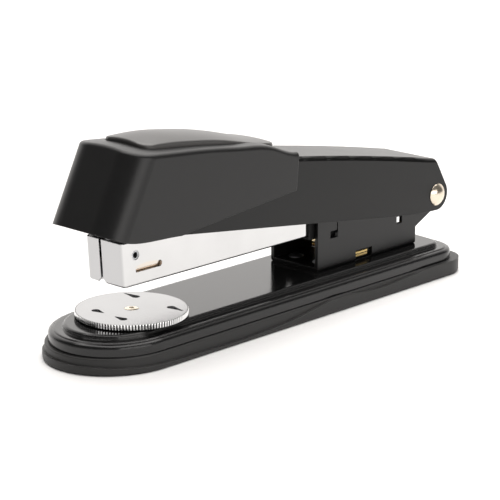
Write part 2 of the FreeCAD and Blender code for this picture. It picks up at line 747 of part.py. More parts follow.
def magazine_channel():
    back = pivot_x - channel_tail
    outer = leaning_block(channel_front, channel_half, channel_corner, back + 2, channel_low, channel_top)
    bends = edges_where(outer, lambda e: runs_along(e, ALONG) and e.BoundBox.ZMax < channel_low + 0.01 and
                        abs(e.Vertexes[0].Y) > channel_half - 0.01)
    outer = outer.makeFillet(channel_bend, bends)
    inside_front = channel_front + channel_sheet
    inner = leaning_block(inside_front, channel_inner, 0, back + 10, channel_floor, channel_top + 2)
    channel = outer.cut(inner)
    exit_slot = leaning_block(inside_front, channel_inner, 0, rail_front + exit_length, channel_low - 1,
                              channel_floor + 1)
    channel = channel.cut(exit_slot)
    channel = channel.cut(box(channel_front - 3, inside_front + 0.5, slit_aside - slit / 2,
                              slit_aside + slit / 2, channel_low - 1, channel_top + 1))
    for side in (-1, 1):
        trim = prism_yz_corner(side)
        channel = channel.cut(trim)
    pin = front_pin_place()
    channel = channel.cut(rod_between(front_pin_r, V(pin.x, -base_half, pin.z), ACROSS, base_width))
    lance_z = channel_low + lance_height
    lance_x = staple_x + lance_front
    end = lance_x + lance_length
    channel = channel.cut(box(lance_x, end, -base_half, base_half, lance_z - lance_width / 2,
                              lance_z + lance_width / 2))
    pit = V(end, -base_half, lance_z + lance_hole_r - lance_width / 2)
    channel = channel.cut(rod_between(lance_hole_r, pit, ACROSS, base_width))
    for x, y in floor_rivet_places():
        channel = channel.cut(rod_between(floor_rivet_r, V(x, y, channel_low - 1), UP, 3))
    return channel


def prism_yz_corner(side):
    """The trimmed lower corner of a front flap, beside the slit."""
    x0 = channel_front - 3
    size = 1.4
    y = slit_aside + side * slit / 2
    points = [V(x0, y, channel_low - 0.01), V(x0, y + side * size, channel_low - 0.01),
              V(x0, y, channel_low + size)]
    return Part.Face(Part.makePolygon(points + points[:1])).extrude(V(3 + channel_sheet + 0.4, 0, 0))


def pin_bore():
    """The hole that turns on the pivot pin, right across the stapler."""
    return rod_between(pin_r + running_clearance, V(pivot_x, -base_half, pivot_z), ACROSS, base_width)


def front_pin_place():
    return V(staple_x + front_pin_back, 0, channel_low + front_pin_height)


def magazine_front_pin():
    """A hollow pin across the magazine, its ends just inside the outer faces."""
    pin = front_pin_place()
    half = channel_half - front_pin_recess
    tube = rod_between(front_pin_r, V(pin.x, -half, pin.z), ACROSS, 2 * half)
    return tube.cut(rod_between(front_pin_bore_r, V(pin.x, -half - 1, pin.z), ACROSS, 2 * half + 2))


def magazine_carrier():
    """The black U behind the bright length of the magazine, with the ears that turn on the pin."""
    front = pivot_x - carrier_front
    low = channel_low - carrier_sheet
    top = channel_top - carrier_top_drop
    outline = [(front, low), (pivot_x - 12, low), (pivot_x - 3, pivot_z - carrier_ear_r),
               (pivot_x, pivot_z - carrier_ear_r), (pivot_x, pivot_z + carrier_ear_r),
               (pivot_x - 6, pivot_z + carrier_ear_r), (pivot_x - 14, top), (front, top)]
    block = prism_xz(outline, -carrier_half, carrier_half)
    ear = rod_between(carrier_ear_r, V(pivot_x, -carrier_half, pivot_z), ACROSS, 2 * carrier_half)
    block = block.fuse(ear)
    made = block.cut(box(front - 1, rear_x + 20, -channel_half, channel_half, channel_low, channel_top + 10))
    made = made.cut(box(pivot_x - channel_tail, rear_x + 20, -channel_half, channel_half, 0, channel_top))
    stop_x = pivot_x - stop_front
    low_stop = stop_low()
    made = made.cut(box(stop_x - 0.5, stop_x + stop_length + 0.6, -base_half, base_half, low_stop - 0.1,
                        low_stop + stop_height + 3.7))
    made = made.cut(pin_bore())
    for x, y in floor_rivet_places():
        made = made.cut(rod_between(floor_rivet_r, V(x, y, low - 1), UP, 3))
    return made


def carrier_rivets():
    low = channel_low - carrier_sheet
    rivets = [rivet(x, y, low, channel_floor, floor_rivet_r, floor_rivet_head_r, floor_rivet_head)
              for x, y in floor_rivet_places()]
    return Part.makeCompound(rivets)


# Rail, staples and pusher -------------------------------------------------------------------------

def staple_rail():
    inner = rail_half - rail_sheet
    block = box(rail_front, rail_back, -rail_half, rail_half, channel_floor, rail_top)
    edges = edges_where(block, lambda e: runs_along(e, ALONG) and e.BoundBox.ZMin > rail_top - 0.01)
    block = block.makeFillet(0.5, edges)
    rail = block.cut(box(rail_front + rail_sheet, rail_back + 1, -inner, inner, channel_floor - 1,
                         rail_top - rail_sheet))
    slot_x = rail_front + rail_slot_front
    slot = box(slot_x, retainer_front - 2, -rail_slot / 2, rail_slot / 2, rail_top - 2, rail_top + 1)
    return rail.cut(slot)


def staple_strip():
    """The glued strip of staples astride the rail."""
    half = staple_crown / 2
    inner = half - staple_wire_thickness
    strip = box(rail_front, rail_front + strip_length, -half, half, leg_tip, crown_top)
    strip = strip.cut(box(rail_front - 1, rail_front + strip_length + 1, -inner, inner, leg_tip - 1,
                          crown_top - staple_wire_thickness))
    return strip


def pusher():
    half = channel_inner - 0.15
    x0 = pusher_front
    x1 = x0 + pusher_length
    straddle = rail_half + 0.15
    low = channel_floor + pusher_gap
    body = box(x0, x1, -half, half, low, rail_top + pusher_top)
    body = body.cut(box(x0 - 1, x1 + 1, -straddle, straddle, low - 1, rail_top + 0.15))
    grip = box(x0 + 3, x1 - 3, -3, 3, rail_top + pusher_top - 0.5, rail_top + pusher_top + pusher_grip)
    tongue = box(x1 - pusher_tongue_length, x1, -pusher_tongue / 2, pusher_tongue / 2, rod_z - rod_r - 0.9,
                 rail_top + 0.5)
    body = body.fuse([grip, tongue])
    return body.cut(rod_between(rod_r + running_clearance, V(x0 - 1, 0, rod_z), ALONG, pusher_length + 2))


def pusher_rod():
    start = rail_front + rail_sheet
    return rod_between(rod_r, V(start, 0, rod_z), ALONG, rail_back - start)


def rod_retainer():
    half = rail_half - rail_sheet
    block = box(retainer_front, rail_back, -half, half, channel_floor, rail_top - rail_sheet)
    return block.cut(rod_between(rod_r, V(retainer_front - 1, 0, rod_z), ALONG, retainer_length + 2))


def pusher_spring():
    x0 = pusher_front + pusher_length + 0.3 + pusher_wire_r
    x1 = retainer_front - 0.3 - pusher_wire_r
    helix = Part.makeHelix((x1 - x0) / pusher_coils, x1 - x0, pusher_coil_r)
    section = Part.Wire(Part.makeCircle(pusher_wire_r, V(pusher_coil_r, 0, 0), ACROSS))
    coil = Part.Wire(helix.Edges).makePipeShell([section], True, True)
    coil.rotate(V(0, 0, 0), ACROSS, 90)
    coil.translate(V(x0, 0, rod_z))
    return coil


# Handle -------------------------------------------------------------------------------------------

def tangent_point(centre, radius, x, z):
    """Where the line from (x, z) touches the circle about the pivot, on its back side."""
    dx = x - centre.x
    dz = z - centre.z
    away = math.hypot(dx, dz)
    turn = math.atan2(dz, dx) - math.acos(radius / away)
    return centre.x + radius * math.cos(turn), centre.z + radius * math.sin(turn)


def handle_top_arc(drop, front):
    """The line of the cover's top, lowered by `drop` and starting at x = `front`."""
    first = V(staple_x + handle_front, 0, pivot_z + handle_front_top)
    middle = V(pivot_x - handle_mid_back, 0, pivot_z + handle_mid_top)
    last = V(pivot_x - handle_rear, 0, pivot_z + handle_rear_top)
    circle = Part.Arc(first, middle, last).toShape().Curve
    centre = circle.Center
    radius = circle.Radius - drop

    def at(x):
        return V(x, 0, centre.z + math.sqrt(radius * radius - (x - centre.x) ** 2))

    end = last.x
    return Part.Arc(at(front), at((front + end) / 2), at(end)).toShape()


def handle_block(shrink, front, spread):
    """The cover's outer solid, with sides and top moved in by `shrink`; `spread` lengthens its ends."""
    half = handle_half - shrink
    arc = handle_top_arc(shrink, front)
    ear = handle_ear_r + spread
    rear_top = arc.Vertexes[-1].Point
    front_top = arc.Vertexes[0].Point
    low_front = V(front, 0, pivot_z + handle_front_low - spread)
    knee = V(pivot_x - handle_knee, 0, pivot_z - handle_knee_low - spread)
    heel = V(pivot_x - handle_heel, 0, pivot_z - handle_heel_low - spread)
    bottom = V(pivot_x, 0, pivot_z - ear)
    tx, tz = tangent_point(pivot, ear, rear_top.x + spread, rear_top.z)
    touch = V(tx, 0, tz)
    between = math.atan2(tz - pivot_z, tx - pivot_x) / 2 - math.pi / 4
    mid = V(pivot_x + ear * math.cos(between), 0, pivot_z + ear * math.sin(between))
    corner = V(rear_top.x + spread, 0, rear_top.z)
    edges = [Part.makeLine(low_front, knee), Part.makeLine(knee, heel), Part.makeLine(heel, bottom),
             Part.Arc(bottom, mid, touch).toShape(), Part.makeLine(touch, corner)]
    if spread > 0:
        edges.append(Part.makeLine(corner, rear_top))
    edges += [arc, Part.makeLine(front_top, low_front)]
    face = Part.Face(Part.Wire(Part.__sortEdges__(edges)))
    block = face.extrude(V(0, 2 * half, 0)).translated(V(0, -half, 0))
    bend = max(handle_bend - shrink, 0.3)
    tops = edges_where(block, lambda e: e.BoundBox.XLength > 50 and e.BoundBox.ZMin > pivot_z + 8)
    return block.makeFillet(bend, tops)


def cap_screw_places():
    return [staple_x + back for back in cap_screws]


def cover_top_at(x, drop):
    front = staple_x + handle_front
    circle = handle_top_arc(drop, front).Curve
    return circle.Center.z + math.sqrt(circle.Radius ** 2 - (x - circle.Center.x) ** 2)


def lowest_cover(x, reach, drop):
    """The lowest height of the cover's surface, lowered by `drop`, under a head of that radius."""
    return min(cover_top_at(x - reach, drop), cover_top_at(x + reach, drop))


def highest_cover(x, reach):
    return max(cover_top_at(x - reach, 0), cover_top_at(x + reach, 0))


def driver_rivet_x():
    return staple_x + handle_front + holder_foot / 2 + 1.5


def handle_cover():
    front = staple_x + handle_front
    outer = handle_block(0, front, 0)
    inner = handle_block(handle_sheet, front - 5, 6)
    cover = outer.cut(inner)
    cover = cover.cut(pin_bore())
    for x in cap_screw_places():
        cover = cover.cut(rod_between(cap_screw_r, V(x, 0, cover_top_at(x, 0) - 4), UP, 8))
    x = driver_rivet_x()
    for side in (-1, 1):
        foot = V(x, side * driver_rivet_y, cover_top_at(x, 0) - 4)
        cover = cover.cut(rod_between(driver_rivet_r, foot, UP, 8))
    return cover


# Nose cap and pad ---------------------------------------------------------------------------------

def cover_line(x):
    """Height of the straight line through the front and the middle of the cover's top."""
    front = staple_x + handle_front
    slope = (handle_mid_top - handle_front_top) / (pivot_x - handle_mid_back - front)
    return pivot_z + handle_front_top + slope * (x - front)


def roof_block(lift, crown=cap_crown):
    """Everything under a crowned roof, raised by `lift`."""
    wires = []
    reach = cap_nose_half + 6
    for back, height, crown_fall in crown:
        fall = crown_fall * reach * reach
        x = staple_x + back
        z = cover_line(x) + height + lift
        arc = Part.Arc(V(x, -reach, z - fall), V(x, 0, z), V(x, reach, z - fall))
        foot = Part.makePolygon([V(x, reach, z - fall), V(x, reach, pivot_z - 10), V(x, -reach, pivot_z - 10),
                                 V(x, -reach, z - fall)])
        wires.append(Part.Wire([arc.toShape()] + foot.Edges))
    return Part.makeLoft(wires, True, False)


def cap_plan(shrink):
    """The cap's outline from above, drawn upwards and backwards along its leaning front."""
    front = staple_x - cap_front + shrink
    nose = cap_nose_half - shrink
    tail = cap_rear_half - shrink
    back = staple_x + cap_rear + 8
    corner = cap_corner - shrink
    low = pivot_z + cap_low_height
    inner = nose - corner
    bend = corner * math.sqrt(0.5)
    cx = front + corner

    def at(x, y):
        return V(x, y, low)

    edges = [Part.makeLine(at(back, -tail), at(cx, -nose)),
             Part.Arc(at(cx, -nose), at(cx - bend, -inner - bend), at(front, -inner)).toShape(),
             Part.makeLine(at(front, -inner), at(front, inner)),
             Part.Arc(at(front, inner), at(cx - bend, inner + bend), at(cx, nose)).toShape(),
             Part.makeLine(at(cx, nose), at(back, tail)), Part.makeLine(at(back, tail), at(back, -tail))]
    face = Part.Face(Part.Wire(edges))
    down = 10.0
    up = 30.0
    face.translate(V(-cap_lean * down, 0, -down))
    return face.extrude(V(cap_lean * (down + up), 0, down + up))


def below_cap():
    """What lies under the cap's lower edge: a soft curve under the nose, then a straight rise."""
    y = -base_half - 2
    points = [V(staple_x + back, y, pivot_z + height) for back, height in cap_lower_edge]
    curve = Part.BSplineCurve()
    curve.interpolate(points)
    rear = V(staple_x + cap_rear, y, pivot_z + cap_rear_low)
    beyond = rear + (rear - points[-1]) * 0.3
    low = pivot_z - 20
    edges = [curve.toShape(), Part.makeLine(points[-1], beyond), Part.makeLine(beyond, V(beyond.x, y, low)),
             Part.makeLine(V(beyond.x, y, low), V(points[0].x, y, low)),
             Part.makeLine(V(points[0].x, y, low), points[0])]
    return Part.Face(Part.Wire(edges)).extrude(V(0, base_width + 4, 0))


def behind_cap():
    x = staple_x + cap_rear
    z = pivot_z + cap_rear_low
    return prism_xz([(x - 0.4, z - 10), (x + 2.4, z + 25), (x + 40, z + 25), (x + 40, z - 10)],
                    -base_half, base_half)


def rounded_cap():
    block = cap_plan(0).common(roof_block(0)).cut(behind_cap())
    crease = edges_where(block, lambda e: e.BoundBox.ZMin > pivot_z + handle_mid_top and
                         e.BoundBox.XMin < staple_x + cap_rear - 4)
    return block.makeFillet(cap_edge_round, crease)


def pad_outline(grow, z0, z1):
    x0 = staple_x + pad_front - grow
    x1 = staple_x + pad_rear + grow
    half = pad_half + grow
    plan = box(x0, x1, -half, half, z0, z1)
    stands = edges_where(plan, lambda e: runs_along(e, UP))
    return plan.makeFillet(pad_corner + grow, stands)


def nose_cap():
    outer = rounded_cap()
    hollow = cap_plan(cap_wall).common(roof_block(-cap_roof_wall))
    hollow = hollow.cut(behind_cap().translated(V(2, 0, 0)))
    cap = outer.cut(hollow)
    for x in cap_screw_places():
        boss = rod_between(boss_r, V(x, 0, pivot_z + 15), UP, 30)
        cap = cap.fuse(boss.common(roof_block(-cap_roof_wall + 0.3)).common(cap_plan(cap_wall)))
    cap = cap.cut(pad_outline(pad_gap, pivot_z, pivot_z + 50).cut(roof_block(-pad_sunk)))
    cap = cap.cut(handle_block(-cap_slip, staple_x + handle_front, 0))
    room = handle_block(handle_sheet, staple_x + handle_front - 5, 6)
    cap = cap.cut(room.common(box(front_x - 20, rear_x, -base_half, base_half, 0, pivot_z + 60)))
    cap = cap.cut(below_cap())
    for x in cap_screw_places():
        top = cover_top_at(x, 0)
        cap = cap.cut(rod_between(cap_screw_r, V(x, 0, top - 6), UP, 6 + cap_screw_bite))
    return cap


def top_pad():
    slab = pad_outline(0, pivot_z, pivot_z + 50).common(roof_block(0, pad_crown))
    rim = edges_where(slab, lambda e: e.BoundBox.ZMin > pivot_z + handle_mid_top)
    return slab.makeFillet(pad_edge_round, rim).cut(roof_block(seat_gap - pad_sunk))


def cap_screw_set():
    screws = []
    for x in cap_screw_places():
        seat = lowest_cover(x, cap_screw_head_r, handle_sheet) - seat_gap
        top = cover_top_at(x, 0) + cap_screw_bite
        head = rod_between(cap_screw_head_r, V(x, 0, seat - cap_screw_head), UP, cap_screw_head)
        shank = rod_between(cap_screw_r, V(x, 0, seat - cap_screw_head), UP, top - seat + cap_screw_head)
        screws.append(head.fuse(shank))
    return Part.makeCompound(screws)


# Driver -------------------------------------------------------------------------------------------

def blade_block(ahead, sheet, width, low, high):
    """A plate parallel to the magazine's front, drawn fully pressed and then lifted to rest."""
    slope = front_lean / channel_height
    face_x = channel_front + channel_sheet + ahead

    def at(x, z):
        return (x - slope * (z - channel_low), z)

    corners = [at(face_x, low), at(face_x + sheet, low), at(face_x + sheet, high), at(face_x, high)]
    plate = prism_xz(corners, -width / 2, width / 2)
    return plate.rotated(pivot, ACROSS, driver_stroke_deg)


def driver_blade():
    low = channel_low + blade_tip
    high = low + blade_height
    blade = blade_block(blade_gap, blade_sheet, blade_width, low, high)
    window = blade_block(blade_gap - 1, blade_sheet + 2, blade_window, high - 7, high - 3)
    return blade.cut(window)


def driver_holder():
    """An angle under the cover's top: its foot is riveted there, its leg backs the blade."""
    low = channel_low + blade_tip + blade_height - holder_drop
    leg = blade_block(blade_gap + blade_sheet, holder_sheet, holder_width, low, low + 40)
    x1 = staple_x + handle_front + holder_foot
    half = holder_width / 2
    under_cover = under_cover_block(seat_gap, x1)
    foot = under_cover.cut(under_cover_block(holder_sheet, x1 + 1))
    foot = foot.common(box(staple_x - 20, x1, -half, half, 0, pivot_z + 60))
    holder = leg.common(under_cover).fuse(foot.cut(ahead_of_blade()))
    for side in (-1, 1):
        x = driver_rivet_x()
        holder = holder.cut(rod_between(driver_rivet_r, V(x, side * driver_rivet_y, pivot_z + 20), UP, 20))
    return holder


def under_cover_block(drop, x1):
    """The space under the cover's top, lowered by `drop`, carried on ahead of the cover's front."""
    front = staple_x - 6
    arc = handle_top_arc(handle_sheet + drop, front)
    low = pivot_z
    start = arc.Vertexes[0].Point
    end = arc.Vertexes[-1].Point
    edges = [arc, Part.makeLine(end, V(end.x, 0, low)), Part.makeLine(V(end.x, 0, low), V(front, 0, low)),
             Part.makeLine(V(front, 0, low), start)]
    block = Part.Face(Part.Wire(edges)).extrude(V(0, 30, 0)).translated(V(0, -15, 0))
    return block.common(box(front - 5, x1, -15, 15, 0, pivot_z + 60))


def ahead_of_blade():
    return blade_block(blade_gap + blade_sheet - 30, 30, 30, channel_low, channel_low + 60)


def driver_rivets():
    x = driver_rivet_x()
    under = lowest_cover(x, driver_rivet_head_r, handle_sheet + holder_sheet) - seat_gap
    top = highest_cover(x, driver_rivet_head_r) + seat_gap
    rivets = [rivet(x, side * driver_rivet_y, under, top, driver_rivet_r, driver_rivet_head_r,
                    driver_rivet_head) for side in (-1, 1)]
    return Part.makeCompound(rivets)


if __name__ == "__main__":
    os.makedirs("parts", exist_ok=True)
    write("base_shoe", base_shoe())
    write("base_plate", base_plate())
    write("base_screws", base_screws())
    write("base_nuts", base_nuts())
    write("anvil_disc", anvil_disc())
    write("anvil_rivet", anvil_rivet())
    write("anvil_spring_washer", anvil_spring_washer())
    write("anvil_retaining_washer", anvil_retaining_washer())
    write("bracket", bracket())
    write("bracket_rivets", bracket_rivets())
    write("return_spring", return_spring())
    write("return_spring_rivet", return_spring_rivet())
    write("pivot_pin", pivot_pin())
    write("pivot_washers", pivot_washers())
    write("pivot_sleeve", pivot_sleeve())
    write("handle_spring", handle_spring())
    write("magazine_channel", magazine_channel())
    write("magazine_front_pin", magazine_front_pin())
    write("magazine_carrier", magazine_carrier())
    write("carrier_rivets", carrier_rivets())
    write("staple_rail", staple_rail())
    write("staple_strip", staple_strip())
    write("pusher", pusher())
    write("pusher_rod", pusher_rod())
    write("rod_retainer", rod_retainer())
    write("pusher_spring", pusher_spring())
    write("handle_cover", handle_cover())
    write("nose_cap", nose_cap())
    write("top_pad", top_pad())
    write("cap_screws", cap_screw_set())
    write("driver_blade", driver_blade())
    write("driver_holder", driver_holder())
    write("driver_rivets", driver_rivets())
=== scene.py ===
import math

import bmesh
import bpy
from mathutils import Matrix, Vector


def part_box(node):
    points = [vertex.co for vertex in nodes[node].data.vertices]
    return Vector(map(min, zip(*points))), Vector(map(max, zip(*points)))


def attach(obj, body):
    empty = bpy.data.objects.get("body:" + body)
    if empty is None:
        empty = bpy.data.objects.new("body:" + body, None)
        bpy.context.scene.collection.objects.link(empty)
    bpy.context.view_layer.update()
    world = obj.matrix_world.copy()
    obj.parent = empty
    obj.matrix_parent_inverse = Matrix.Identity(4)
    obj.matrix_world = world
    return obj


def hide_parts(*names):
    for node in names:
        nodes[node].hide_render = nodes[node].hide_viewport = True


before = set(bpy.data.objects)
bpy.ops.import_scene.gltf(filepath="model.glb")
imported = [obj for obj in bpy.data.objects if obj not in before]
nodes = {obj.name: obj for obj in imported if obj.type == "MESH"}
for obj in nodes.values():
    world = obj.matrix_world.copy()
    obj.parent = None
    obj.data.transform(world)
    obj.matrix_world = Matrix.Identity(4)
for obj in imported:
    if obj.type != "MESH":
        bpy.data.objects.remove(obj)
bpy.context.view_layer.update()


# The camera ---------------------------------------------------------------------------------------
# A long lens on a tripod, in front of the nose and to its left, looking a little down.

camera_target = Vector((-0.0032, 0.0, 0.01901))
camera_azimuth = math.radians(-45.908)
camera_elevation = math.radians(15.857)
camera_distance = 0.5945

camera_data = bpy.data.cameras.new("camera")
camera_data.lens = 144.0
camera_data.sensor_width = 36.0
camera_data.clip_start = 0.02
camera_data.clip_end = 20.0
camera = bpy.data.objects.new("camera", camera_data)
bpy.context.scene.collection.objects.link(camera)
turned = (Matrix.Rotation(camera_azimuth, 4, "Z")
          @ Matrix.Rotation(math.pi / 2 - camera_elevation, 4, "X"))
camera.matrix_world = (Matrix.Translation(camera_target) @ turned
                       @ Matrix.Translation((0, 0, camera_distance)))
bpy.context.scene.camera = camera


# Base shoe ----------------------------------------------------------------------------------------
# The moulded foot of the stapler, matt black plastic with a fine spark-eroded grain. It is pressed
# round the steel plate and held by two screws from below. Its sharp mould edges are rubbed bright.

def add(tree, kind, sockets=None, **settings):
    """A node in a tree, with its sockets given values or joined to other nodes."""
    made = tree.nodes.new(kind)
    for name, value in settings.items():
        setattr(made, name, value)
    for name, value in (sockets or {}).items():
        socket = made.inputs[name]
        if isinstance(value, bpy.types.NodeSocket):
            tree.links.new(value, socket)
        else:
            socket.default_value = value
    return made


def effect(name, inputs, outputs):
    """An empty node group with named inputs and outputs; returns its tree, entry and exit."""
    tree = bpy.data.node_groups.new(name, "ShaderNodeTree")
    for label, value in inputs.items():
        entry = tree.interface.new_socket(label, in_out="INPUT", socket_type="NodeSocketFloat")
        entry.default_value = value
    for label, kind in outputs.items():
        tree.interface.new_socket(label, in_out="OUTPUT", socket_type=kind)
    return tree, tree.nodes.new("NodeGroupInput"), tree.nodes.new("NodeGroupOutput")


def object_place(tree):
    return add(tree, "ShaderNodeTexCoord").outputs["Object"]


def noise(tree, place, scale, detail, roughness=0.5):
    """Soft cloudy noise from 0 to 1, with its scale in patches to the metre."""
    return add(tree, "ShaderNodeTexNoise", {"Vector": place, "Scale": scale, "Detail": detail,
                                            "Roughness": roughness}).outputs["Fac"]


def moulded_grain():
    """Fine pebbles for a bump, and slow changes of tone over the whole piece."""
    tree, given, made = effect("moulded grain", {"Scale": 3000.0},
                               {"Height": "NodeSocketFloat", "Tone": "NodeSocketFloat"})
    place = object_place(tree)
    scale = given.outputs["Scale"]
    pebbles = add(tree, "ShaderNodeTexVoronoi", {"Vector": place, "Scale": scale},
                  feature="SMOOTH_F1")
    fine = noise(tree, place, scale, 2.0)
    both = add(tree, "ShaderNodeMath", {0: pebbles.outputs["Distance"], 1: fine}, operation="ADD")
    slow = noise(tree, place, 45.0, 3.0, 0.6)
    tree.links.new(both.outputs[0], made.inputs["Height"])
    tree.links.new(slow, made.inputs["Tone"])
    return tree


def rubbed_edges():
    """Rounds the edges to the eye, and masks them where handling has rubbed them."""
    tree, given, made = effect("rubbed edges", {"Radius": 0.0003, "Strength": 4.0},
                               {"Mask": "NodeSocketFloat", "Normal": "NodeSocketVector"})
    rounded = add(tree, "ShaderNodeBevel", {"Radius": given.outputs["Radius"]}, samples=4)
    flat = add(tree, "ShaderNodeNewGeometry").outputs["Normal"]
    same = add(tree, "ShaderNodeVectorMath", {0: rounded.outputs[0], 1: flat},
               operation="DOT_PRODUCT")
    away = add(tree, "ShaderNodeMath", {0: 1.0, 1: same.outputs["Value"]}, operation="SUBTRACT")
    patchy = noise(tree, object_place(tree), 260.0, 3.0)
    mask = add(tree, "ShaderNodeMath", {0: away.outputs[0], 1: given.outputs["Strength"]},
               operation="MULTIPLY")
    broken = add(tree, "ShaderNodeMath", {0: mask.outputs[0], 1: patchy}, operation="MULTIPLY",
                 use_clamp=True)
    tree.links.new(broken.outputs[0], made.inputs["Mask"])
    tree.links.new(rounded.outputs[0], made.inputs["Normal"])
    return tree


grain_effect = moulded_grain()
edge_effect = rubbed_edges()


def finish_of(name, metallic=0.0, ior=1.42):
    """A material with one plain shader, ready for its colour, roughness and bump."""
    material = bpy.data.materials.new(name)
    material.use_nodes = True
    tree = material.node_tree
    shader = tree.nodes["Principled BSDF"]
    shader.inputs["Metallic"].default_value = metallic
    shader.inputs["IOR"].default_value = ior
    return material, tree, shader


def place_group(tree, group, **values):
    """One of the shared effects, placed in a material and given its values."""
    made = tree.nodes.new("ShaderNodeGroup")
    made.node_tree = group
    for name, value in values.items():
        made.inputs[name].default_value = value
    return made


def between(tree, factor, low, high):
    """A number or a grey that runs from low to high as the factor runs from 0 to 1."""
    return add(tree, "ShaderNodeMapRange",
               {"Value": factor, "To Min": low, "To Max": high}).outputs["Result"]


def blend_colours(tree, factor, first, second):
    """The first colour where the factor is 0 and the second where it is 1."""
    made = add(tree, "ShaderNodeMix", data_type="RGBA")
    tree.links.new(factor, made.inputs[0])
    for socket, value in ((made.inputs[6], first), (made.inputs[7], second)):
        if isinstance(value, bpy.types.NodeSocket):
            tree.links.new(value, socket)
        else:
            socket.default_value = (*value, 1.0)
    return made.outputs[2]


def raise_surface(tree, shader, height, edges, strength, depth):
    """Turns a height into a bump over the rounded edges, and joins it to the shader."""
    bump = add(tree, "ShaderNodeBump", {"Height": height, "Normal": edges.outputs["Normal"],
                                        "Strength": strength, "Distance": depth})
    tree.links.new(bump.outputs[0], shader.inputs["Normal"])


def moulded_plastic(name, dark, light, rubbed, smooth, rough, grain, depth, edge, ior=1.42):
    """Moulded plastic: two close tones, a grain that breaks the shine, and rubbed edges."""
    material, tree, shader = finish_of(name, ior=ior)
    pattern = place_group(tree, grain_effect, Scale=grain)
    edges = place_group(tree, edge_effect, Radius=edge, Strength=3.0)
    tone = pattern.outputs["Tone"]
    body = blend_colours(tree, tone, dark, light)
    colour = blend_colours(tree, edges.outputs["Mask"], body, rubbed)
    tree.links.new(colour, shader.inputs["Base Color"])
    tree.links.new(between(tree, tone, smooth, rough), shader.inputs["Roughness"])
    raise_surface(tree, shader, pattern.outputs["Height"], edges, 0.35, depth)
    return material


def give(finish, *names):
    """Puts a finish on CAD nodes, in place of what they were packed with."""
    for name in names:
        slots = nodes[name].data.materials
        slots.clear()
        slots.append(finish)


shoe_plastic = moulded_plastic(
    "shoe plastic", dark=(0.015, 0.015, 0.0150), light=(0.021, 0.0205, 0.020),
    rubbed=(0.10, 0.10, 0.10), smooth=0.40, rough=0.52, grain=3600.0, depth=0.00002, edge=0.00035)
give(shoe_plastic, "base_shoe")


# Base plate ---------------------------------------------------------------------------------------
# Pressed from one millimetre steel sheet and stove enamelled gloss black. The enamel has a faint
# orange peel, and the raised plateau on top carries the anvil and the bracket.

def stoved_enamel(name, tone, smooth, rough, peel, depth, edge, ior=1.36, wear=2.5):
    """Black paint on steel, sprayed and baked: faint waves in the gloss, thin at the edges."""
    material, tree, shader = finish_of(name, ior=ior)
    place = object_place(tree)
    waves = noise(tree, place, peel, 1.5)
    cloud = noise(tree, place, 60.0, 4.0)
    edges = place_group(tree, edge_effect, Radius=edge, Strength=wear)
    paint = (tone, tone, tone * 1.03)
    thin_paint = (0.08, 0.08, 0.08)
    colour = blend_colours(tree, edges.outputs["Mask"], paint, thin_paint)
    tree.links.new(colour, shader.inputs["Base Color"])
    tree.links.new(between(tree, cloud, smooth, rough), shader.inputs["Roughness"])
    raise_surface(tree, shader, waves, edges, 0.3, depth)
    return material


plate_enamel = stoved_enamel("plate enamel", tone=0.005, smooth=0.10, rough=0.18, peel=900.0,
                             depth=0.00002, edge=0.0009, ior=1.5, wear=0.5)
give(plate_enamel, "base_plate")


# Screws, nuts, washers and hidden rivets ----------------------------------------------------------
# Turned or pressed steel, bright zinc plated. They clamp the shoe, the plate and the bracket.

def plated_steel(name, colour, smooth, rough, streak, depth, edge=0.0002):
    """Plated steel with the fine drawn or turned lines of the metal under the plating."""
    material, tree, shader = finish_of(name, metallic=1.0)
    place = object_place(tree)
    drawn = add(tree, "ShaderNodeMapping", {"Vector": place, "Scale": streak})
    lines = noise(tree, drawn.outputs[0], 1.0, 4.0, 0.65)
    stain = noise(tree, place, 90.0, 3.0)
    edges = place_group(tree, edge_effect, Radius=edge, Strength=2.0)
    stained = tuple(0.86 * c for c in colour)
    tree.links.new(blend_colours(tree, stain, colour, stained), shader.inputs["Base Color"])
    tree.links.new(between(tree, lines, smooth, rough), shader.inputs["Roughness"])
    raise_surface(tree, shader, lines, edges, 0.25, depth)
    return material


bright_zinc = plated_steel("bright zinc", (0.62, 0.63, 0.65), smooth=0.22, rough=0.42,
                           streak=(2500, 2500, 300), depth=0.00002)
give(bright_zinc, "base_screws", "base_nuts", "anvil_retaining_washer", "bracket_rivets",
     "return_spring_rivet", "pivot_sleeve", "carrier_rivets", "cap_screws", "driver_rivets")


# Springs and driver blade -------------------------------------------------------------------------
# Hardened spring steel, left grey: the washer under the anvil, the two coiled springs, and the
# blade that strikes the staple.

spring_steel = plated_steel("spring steel", (0.33, 0.33, 0.34), smooth=0.25, rough=0.40,
                            streak=(3000, 300, 3000), depth=0.00001)
give(spring_steel, "anvil_spring_washer", "handle_spring", "pusher_spring", "driver_blade")


# Anvil --------------------------------------------------------------------------------------------
# A turned steel disc with a knurled rim and four clinching pockets, satin chromed, held by one
# rivet. Turning has left fine rings round the middle.

anvil_low, anvil_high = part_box("anvil_disc")
anvil_middle = (anvil_low + anvil_high) / 2
anvil_radius = (anvil_high.y - anvil_low.y) / 2
knurl_tip = 0.00012            # how far in from the rim the painted shade in the knurl starts
knurl_root = 0.00034           # and how far in it is full
rim_edge = 0.00040             # the flat top ends and the rim begins between these two
flat_edge = 0.00045


